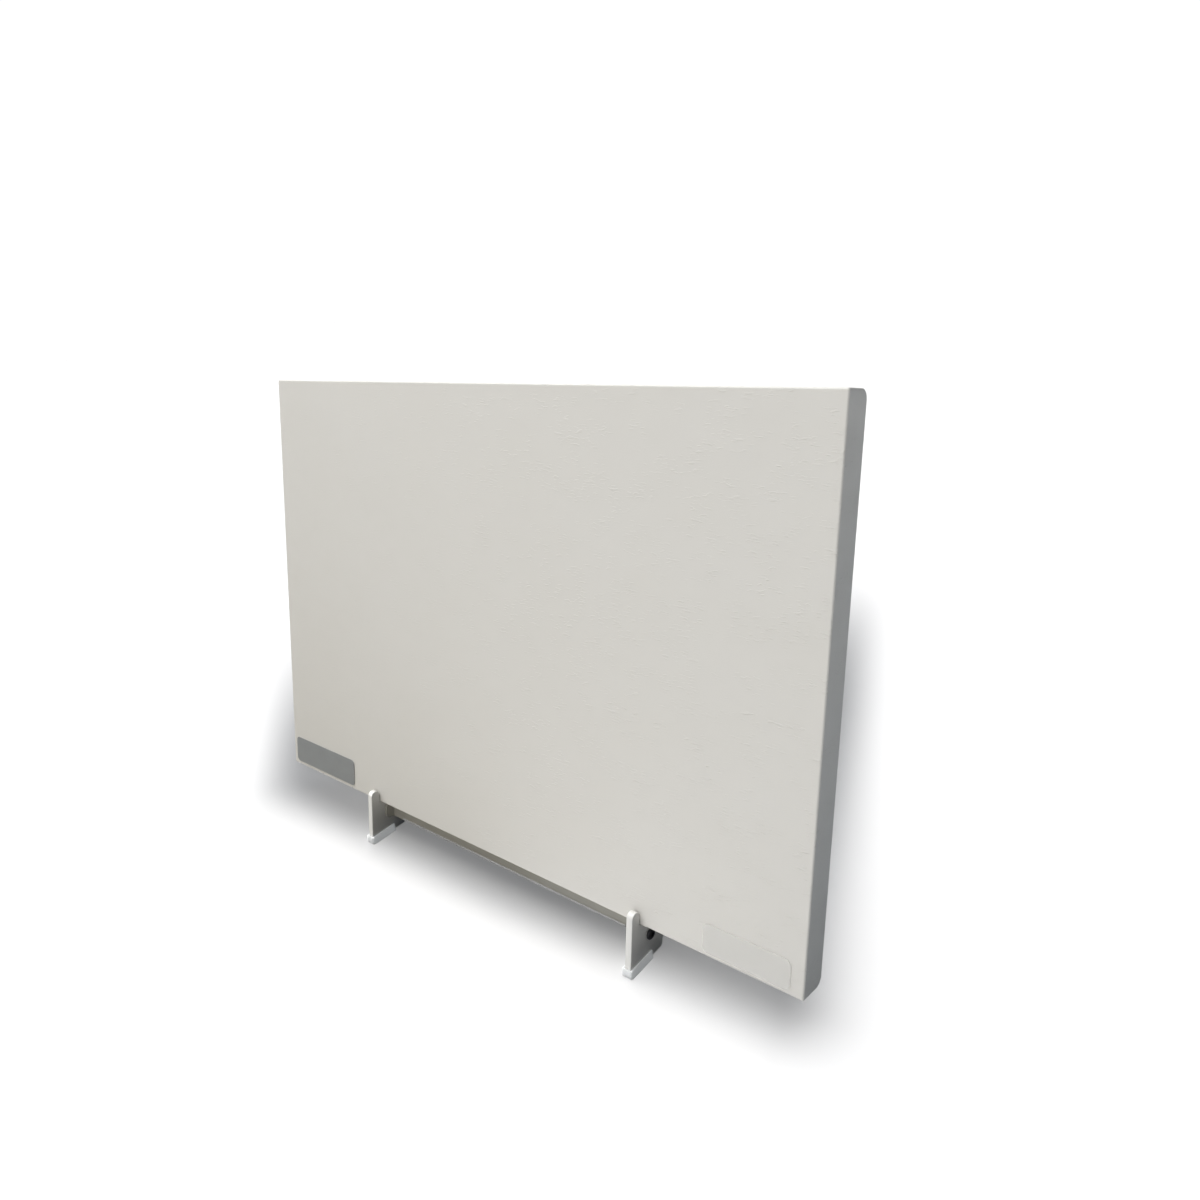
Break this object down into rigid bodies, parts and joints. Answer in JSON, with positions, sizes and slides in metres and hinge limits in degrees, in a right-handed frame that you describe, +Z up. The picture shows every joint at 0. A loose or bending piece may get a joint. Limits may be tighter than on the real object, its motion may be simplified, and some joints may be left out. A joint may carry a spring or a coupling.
{
  "type": "infrared heating panel",
  "caption": "Flat infrared heating panel with a folded steel casing, leaning back in a pair of white foot plates joined by a cross rail.",
  "frame": {"origin": "middle of the footprint, on the floor under the shoes", "axes": "+X to the right along the panel width, -Y towards the front, +Z up"},
  "size_m": [0.6, 0.1592, 0.4295],
  "materials": {
    "white_powder_coat": "fine wrinkled powder coat, satin",
    "zinc_sheet": "hot dip galvanised sheet",
    "zinc_screw": "bright zinc plated",
    "mica_sheet": "matt insulating laminate",
    "carbon_film": "matt black conductive film",
    "copper_strip": "rolled copper",
    "foil": "bright rolled foil",
    "mineral_board": "pressed mineral fibre",
    "cutout_case": "moulded phenolic",
    "white_plastic": "fine moulded texture",
    "block_plastic": "moulded polyamide",
    "black_plastic": "moulded polyamide",
    "black_rubber": "moulded rubber",
    "brown_wire": "silicone sleeve",
    "blue_wire": "silicone sleeve",
    "green_wire": "silicone sleeve",
    "brass_screw": "plated",
    "tin_terminal": "tinned",
    "black_bolt": "black oxide, satin",
    "foot_white": "smooth satin powder coat",
    "rail_grey": "satin light grey coat",
    "clear_silicone": "clear soft moulding",
    "label_silver": "matt silver film",
    "clear_film": "clear gloss film"
  },
  "bodies": {
    "stand": {"cross_rail": "rail_grey", "left_foot": "foot_white", "left_toe_shoe": "clear_silicone", "left_heel_shoe": "clear_silicone", "left_front_bolt": "black_bolt", "left_rear_bolt": "black_bolt", "right_foot": "foot_white", "right_toe_shoe": "clear_silicone", "right_heel_shoe": "clear_silicone", "right_front_bolt": "black_bolt", "right_rear_bolt": "black_bolt"},
    "panel": {"front_pan": "white_powder_coat", "rear_cover": "zinc_sheet", "label_plate": "label_silver", "corner_sticker": "clear_film", "front_insulation": "mica_sheet", "heating_film": "carbon_film", "left_busbar": "copper_strip", "right_busbar": "copper_strip", "rear_insulation": "mica_sheet", "reflector_foil": "foil", "insulation_board": "mineral_board", "thermal_cutout": "cutout_case", "terminal_box": "white_plastic", "terminal_box_lid": "white_plastic", "terminal_block": "block_plastic", "gland_body": "black_plastic", "gland_nut": "black_plastic", "gland_seal": "black_rubber", "gland_locknut": "zinc_screw", "wiring_grommet": "black_rubber", "earth_ring": "tin_terminal", "earth_screw": "brass_screw", "live_lead": "brown_wire", "neutral_lead": "blue_wire", "cutout_lead": "brown_wire", "earth_lead": "green_wire", "cover_screw_1": "zinc_screw", "cover_screw_2": "zinc_screw", "cover_screw_3": "zinc_screw", "cover_screw_4": "zinc_screw", "cover_screw_5": "zinc_screw", "cover_screw_6": "zinc_screw", "cover_screw_7": "zinc_screw", "cover_screw_8": "zinc_screw", "cover_screw_9": "zinc_screw", "cover_screw_10": "zinc_screw", "lid_screw_1": "zinc_screw", "lid_screw_2": "zinc_screw", "lid_screw_3": "zinc_screw", "lid_screw_4": "zinc_screw", "base_screw_1": "zinc_screw", "base_screw_2": "zinc_screw"}
  },
  "joints": [
    {"name": "panel_lift_out", "type": "slide", "parent": "stand", "child": "panel", "axis": [0, 0.2079, 0.9781], "range_m": [0, 0.15]}
  ]
}
